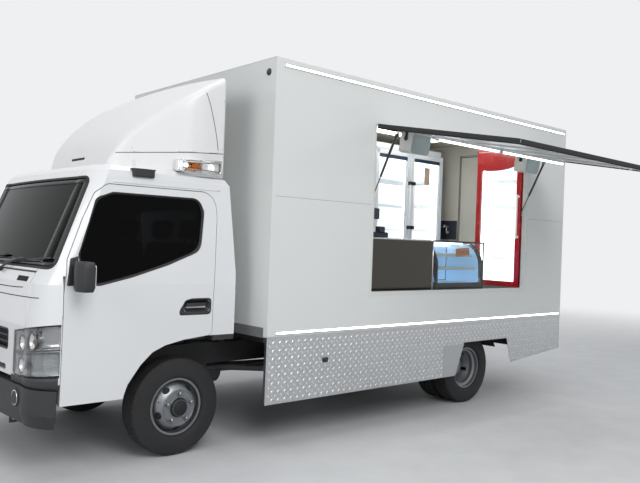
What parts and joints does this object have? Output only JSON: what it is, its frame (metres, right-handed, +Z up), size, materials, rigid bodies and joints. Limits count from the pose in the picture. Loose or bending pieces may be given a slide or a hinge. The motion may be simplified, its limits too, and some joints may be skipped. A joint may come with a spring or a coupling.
{
  "type": "food truck",
  "caption": "Cab-over light truck with a box body whose side hatch swings up over a serving counter, chilled cabinets and a galley inside.",
  "frame": {"origin": "on the ground, on the centre plane, midway between the axles", "axes": "+X forward along the vehicle, +Y to its left, +Z up"},
  "size_m": [6.0855, 3.8545, 3.07],
  "materials": {
    "white_paint": "gloss",
    "cab_paint": "gloss",
    "fairing_paint": "gloss",
    "tread_plate": "satin",
    "chassis_black": "satin",
    "axle_iron": "rough",
    "engine_iron": "rough",
    "tank_metal": "satin",
    "black_plastic": "matte",
    "grey_plastic": "matte",
    "floor_grey": "matte",
    "led_white": "gloss",
    "stainless": "brushed",
    "glass_clear": "polished",
    "glass_cab": "polished",
    "lamp_lens": "polished",
    "fridge_grey": "satin",
    "fridge_red": "gloss",
    "cabinet_black": "satin",
    "seat_cloth": "woven",
    "tyre_rubber": "matte",
    "wheel_silver": "satin",
    "hatch_aluminium": "satin",
    "strut_black": "gloss",
    "strut_chrome": "polished",
    "speaker_white": "satin"
  },
  "bodies": {
    "root": {"chassis_frame": "chassis_black", "body_bearers": "chassis_black", "front_axle": "axle_iron", "rear_axle": "axle_iron", "driveline": "engine_iron", "fuel_tank": "tank_metal", "mudguards": "black_plastic", "front_bumper": "grey_plastic", "rear_bar": "chassis_black", "body_floor": "floor_grey", "body_left_wall": "white_paint", "body_right_wall": "white_paint", "body_front_wall": "white_paint", "body_rear_wall": "white_paint", "body_roof": "white_paint", "body_skirts": "tread_plate", "light_strips": "led_white", "counter": "stainless", "display_cabinet": "cabinet_black", "display_glass": "glass_clear", "glass_fridge": "fridge_grey", "drinks_fridge": "fridge_grey"},
    "cab": {"cab_upper": "cab_paint", "cab_front_panel": "cab_paint", "grille": "black_plastic", "windscreen": "glass_cab", "cab_lamps": "lamp_lens", "cab_floor": "chassis_black", "dashboard": "grey_plastic", "seats": "seat_cloth", "wind_deflector": "fairing_paint"},
    "left_door": {"door_left": "cab_paint", "door_glass_left": "glass_cab", "mirror_left": "black_plastic"},
    "right_door": {"door_right": "cab_paint", "door_glass_right": "glass_cab", "mirror_right": "black_plastic"},
    "entry_door": {"rear_door": "white_paint"},
    "hatch": {"hatch_panel": "hatch_aluminium", "hatch_lights": "led_white", "hatch_speakers": "speaker_white"},
    "strut_tube_f": {"strut_tube_front": "strut_black"},
    "strut_tube_r": {"strut_tube_rear": "strut_black"},
    "strut_rod_f": {"strut_rod_front": "strut_chrome"},
    "strut_rod_r": {"strut_rod_rear": "strut_chrome"},
    "fridge_leaf_front": {"fridge_door_front": "fridge_grey"},
    "fridge_leaf_rear": {"fridge_door_rear": "fridge_grey"},
    "drinks_leaf": {"drinks_fridge_door": "fridge_red"},
    "steer_left": {"knuckle_left": "axle_iron"},
    "steer_right": {"knuckle_right": "axle_iron"},
    "wheel_front_left": {"rim_front_left": "wheel_silver", "tyre_front_left": "tyre_rubber"},
    "wheel_front_right": {"rim_front_right": "wheel_silver", "tyre_front_right": "tyre_rubber"},
    "wheel_rear_left": {"rim_rear_left": "wheel_silver", "tyres_rear_left": "tyre_rubber"},
    "wheel_rear_right": {"rim_rear_right": "wheel_silver", "tyres_rear_right": "tyre_rubber"}
  },
  "joints": [
    {"name": "cab_tilt", "type": "hinge", "parent": "root", "child": "cab", "pos_m": [2.775, 0, 0.64], "axis": [0, 1, 0], "range_deg": [0, 45]},
    {"name": "left_door_hinge", "type": "hinge", "parent": "cab", "child": "left_door", "pos_m": [2.6, 0.982, 0.97], "axis": [0, 0, -1], "range_deg": [0, 66]},
    {"name": "right_door_hinge", "type": "hinge", "parent": "cab", "child": "right_door", "pos_m": [2.6, -0.982, 0.97], "axis": [0, 0, 1], "range_deg": [0, 66]},
    {"name": "steer_left_pin", "type": "hinge", "parent": "root", "child": "steer_left", "pos_m": [1.72, 0.69, 0.365], "axis": [0, 0, 1], "range_deg": [-35, 35]},
    {"name": "steer_right_pin", "type": "hinge", "parent": "root", "child": "steer_right", "pos_m": [1.72, -0.69, 0.365], "axis": [0, 0, 1], "range_deg": [-35, 35]},
    {"name": "spin_front_left", "type": "hinge", "parent": "steer_left", "child": "wheel_front_left", "pos_m": [1.72, 0.811, 0.365], "axis": [0, 1, 0], "continuous": true},
    {"name": "spin_front_right", "type": "hinge", "parent": "steer_right", "child": "wheel_front_right", "pos_m": [1.72, -0.811, 0.365], "axis": [0, 1, 0], "continuous": true},
    {"name": "spin_rear_left", "type": "hinge", "parent": "root", "child": "wheel_rear_left", "pos_m": [-1.72, 0.783, 0.365], "axis": [0, 1, 0], "continuous": true},
    {"name": "spin_rear_right", "type": "hinge", "parent": "root", "child": "wheel_rear_right", "pos_m": [-1.72, -0.783, 0.365], "axis": [0, 1, 0], "continuous": true},
    {"name": "hatch_hinge", "type": "hinge", "parent": "root", "child": "hatch", "pos_m": [-1.06125, 1.179, 2.704], "axis": [1, 0, 0], "range_deg": [-80, 0]},
    {"name": "strut_tube_f_pin", "type": "hinge", "parent": "hatch", "child": "strut_tube_f", "pos_m": [-0.054, 1.39161, 2.58528], "axis": [1, 0, 0], "range_deg": [0, 111]},
    {"name": "strut_tube_r_pin", "type": "hinge", "parent": "hatch", "child": "strut_tube_r", "pos_m": [-2.421, 1.39161, 2.58528], "axis": [1, 0, 0], "range_deg": [0, 111]},
    {"name": "strut_rod_f_slide", "type": "slide", "parent": "strut_tube_f", "child": "strut_rod_f", "axis": [0, -0.4393, -0.8984], "range_m": [-0.174, 0]},
    {"name": "strut_rod_r_slide", "type": "slide", "parent": "strut_tube_r", "child": "strut_rod_r", "axis": [0, -0.4393, -0.8984], "range_m": [-0.174, 0]},
    {"name": "entry_door_hinge", "type": "hinge", "parent": "root", "child": "entry_door", "pos_m": [-3.2425, -0.3075, 1.9], "axis": [0, 0, 1], "range_deg": [0, 100]},
    {"name": "fridge_front_hinge", "type": "hinge", "parent": "root", "child": "fridge_leaf_front", "pos_m": [-1.73, -0.47, 1.95], "axis": [0, 0, -1], "range_deg": [0, 90]},
    {"name": "fridge_rear_hinge", "type": "hinge", "parent": "root", "child": "fridge_leaf_rear", "pos_m": [-2.99, -0.47, 1.95], "axis": [0, 0, 1], "range_deg": [0, 90]},
    {"name": "drinks_hinge", "type": "hinge", "parent": "root", "child": "drinks_leaf", "pos_m": [-2.55, 0.444, 1.95], "axis": [0, 0, -1], "range_deg": [0, 90]}
  ],
  "couplings": [
    {"joint": "steer_right_pin", "follows": "steer_left_pin", "ratio": 1},
    {"joint": "strut_tube_f_pin", "follows": "hatch_hinge", "ratio": -1.3686},
    {"joint": "strut_tube_r_pin", "follows": "hatch_hinge", "ratio": -1.3686},
    {"joint": "strut_rod_f_slide", "follows": "hatch_hinge", "m_per_rad": 0.12332},
    {"joint": "strut_rod_r_slide", "follows": "hatch_hinge", "m_per_rad": 0.12332}
  ]
}
